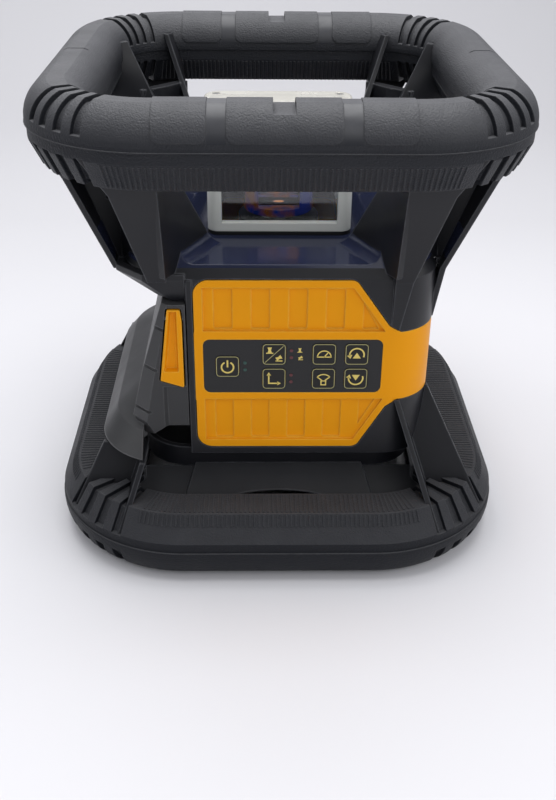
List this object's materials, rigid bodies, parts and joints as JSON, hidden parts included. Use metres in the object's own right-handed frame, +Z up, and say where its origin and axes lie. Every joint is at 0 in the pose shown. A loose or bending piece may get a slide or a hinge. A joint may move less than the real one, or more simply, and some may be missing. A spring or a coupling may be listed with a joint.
{
  "type": "rotary laser level",
  "caption": "Self-levelling rotary laser level: a spinning prism head in a glazed lantern inside a roll cage with rubber bumper rings, front keypad and removable battery.",
  "frame": {"origin": "on the ground under the spin axis, middle of the base bumper's footprint", "axes": "+Z up along the spin axis, the keypad faces -Y, the battery is on the -X side"},
  "size_m": [0.2456, 0.2456, 0.2485],
  "materials": {
    "cage_black": "satin moulded black",
    "bumper_rubber": "finely grained dark grey",
    "yellow_shell": "satin moulded yellow",
    "overlay": "membrane, dark grey",
    "key_film": "membrane, dark grey",
    "lights": "clear light pipes",
    "board": "solder mask",
    "steel": "turned",
    "black_steel": "black oxide",
    "aluminium": "die cast, machined",
    "brass": "turned",
    "lantern_grey": "satin light grey",
    "lantern_pale": "clear hazed cover",
    "glass": "clear",
    "seal": "black",
    "optic_glass": "coated",
    "belt": "black",
    "dark_plastic": "satin black",
    "cell_wrap": "shrink film"
  },
  "bodies": {
    "frame": {"upper_cage": "cage_black", "lower_cage": "cage_black", "foot_frame": "cage_black", "top_bumper": "bumper_rubber", "base_bumper": "bumper_rubber", "mid_housing": "yellow_shell", "bottom_cover": "cage_black", "tripod_insert": "aluminium", "cage_bolts": "black_steel", "cover_screws": "black_steel", "keypad_overlay": "overlay", "keypad_board": "board", "status_lights": "lights", "main_board": "board", "gimbal_stand": "aluminium", "ring_pins": "steel", "level_actuators": "steel", "lantern_frame": "lantern_grey", "lantern_glass": "glass", "lantern_roof": "lantern_pale", "window_seal": "seal", "lantern_screws": "steel", "dock_contacts": "brass"},
    "ring": {"gimbal_ring": "aluminium", "barrel_pins": "steel"},
    "optics": {"optics_barrel": "aluminium", "laser_module": "brass", "collimator_lens": "optic_glass", "level_vials": "optic_glass", "spin_motor": "steel", "drive_belt": "belt", "rotor_bridge": "aluminium", "rotor_bearing": "steel"},
    "rotor": {"rotor_head": "dark_plastic", "pentaprism": "optic_glass", "rotor_pulley": "dark_plastic"},
    "motor_pulley_body": {"motor_pulley": "dark_plastic"},
    "tilt_x": {"tilt_plunger_x": "dark_plastic"},
    "tilt_y": {"tilt_plunger_y": "dark_plastic"},
    "battery": {"pack_case": "bumper_rubber", "pack_lid": "dark_plastic", "battery_cells": "cell_wrap", "pack_contacts": "brass", "latch_pin": "steel", "latch_spring": "steel"},
    "latch": {"pack_latch": "yellow_shell"},
    "power_key_body": {"power_key": "key_film"},
    "plane_key_body": {"plane_key": "key_film"},
    "slope_key_body": {"slope_key": "key_film"},
    "speed_key_body": {"speed_key": "key_film"},
    "scan_key_body": {"scan_key": "key_film"},
    "turn_up_key_body": {"turn_up_key": "key_film"},
    "turn_down_key_body": {"turn_down_key": "key_film"}
  },
  "joints": [
    {"name": "ring_tilt", "type": "hinge", "parent": "frame", "child": "ring", "pos_m": [0, 0, 0.128], "axis": [1, 0, 0], "range_deg": [-5, 5]},
    {"name": "barrel_tilt", "type": "hinge", "parent": "ring", "child": "optics", "pos_m": [0, 0, 0.128], "axis": [0, 1, 0], "range_deg": [-5, 5]},
    {"name": "rotor_spin", "type": "hinge", "parent": "optics", "child": "rotor", "pos_m": [0, 0, 0.16], "axis": [0, 0, 1], "continuous": true},
    {"name": "motor_spin", "type": "hinge", "parent": "optics", "child": "motor_pulley_body", "pos_m": [0.02, 0, 0.1515], "axis": [0, 0, 1], "continuous": true},
    {"name": "tilt_x_slide", "type": "slide", "parent": "frame", "child": "tilt_x", "axis": [-1, 0, 0], "range_m": [-0.0059, 0.0059]},
    {"name": "tilt_y_slide", "type": "slide", "parent": "frame", "child": "tilt_y", "axis": [0, 1, 0], "range_m": [-0.0054, 0.0054]},
    {"name": "battery_slide", "type": "slide", "parent": "frame", "child": "battery", "axis": [-1, 0, 0], "range_m": [0, 0.05]},
    {"name": "latch_press", "type": "hinge", "parent": "battery", "child": "latch", "pos_m": [-0.054, -0.074, 0.132], "axis": [1, 0, 0], "range_deg": [0, 6], "stiffness_Nm_per_rad": 2},
    {"name": "power_key_press", "type": "slide", "parent": "frame", "child": "power_key_body", "axis": [0, 1, 0], "range_m": [0, 0.0004], "stiffness_N_per_m": 2500},
    {"name": "plane_key_press", "type": "slide", "parent": "frame", "child": "plane_key_body", "axis": [0, 1, 0], "range_m": [0, 0.0004], "stiffness_N_per_m": 2500},
    {"name": "slope_key_press", "type": "slide", "parent": "frame", "child": "slope_key_body", "axis": [0, 1, 0], "range_m": [0, 0.0004], "stiffness_N_per_m": 2500},
    {"name": "speed_key_press", "type": "slide", "parent": "frame", "child": "speed_key_body", "axis": [0, 1, 0], "range_m": [0, 0.0004], "stiffness_N_per_m": 2500},
    {"name": "scan_key_press", "type": "slide", "parent": "frame", "child": "scan_key_body", "axis": [0, 1, 0], "range_m": [0, 0.0004], "stiffness_N_per_m": 2500},
    {"name": "turn_up_key_press", "type": "slide", "parent": "frame", "child": "turn_up_key_body", "axis": [0, 1, 0], "range_m": [0, 0.0004], "stiffness_N_per_m": 2500},
    {"name": "turn_down_key_press", "type": "slide", "parent": "frame", "child": "turn_down_key_body", "axis": [0, 1, 0], "range_m": [0, 0.0004], "stiffness_N_per_m": 2500}
  ],
  "couplings": [
    {"joint": "motor_spin", "follows": "rotor_spin", "ratio": 2.4},
    {"joint": "tilt_x_slide", "follows": "barrel_tilt", "m_per_rad": 0.066},
    {"joint": "tilt_y_slide", "follows": "ring_tilt", "m_per_rad": 0.06}
  ]
}
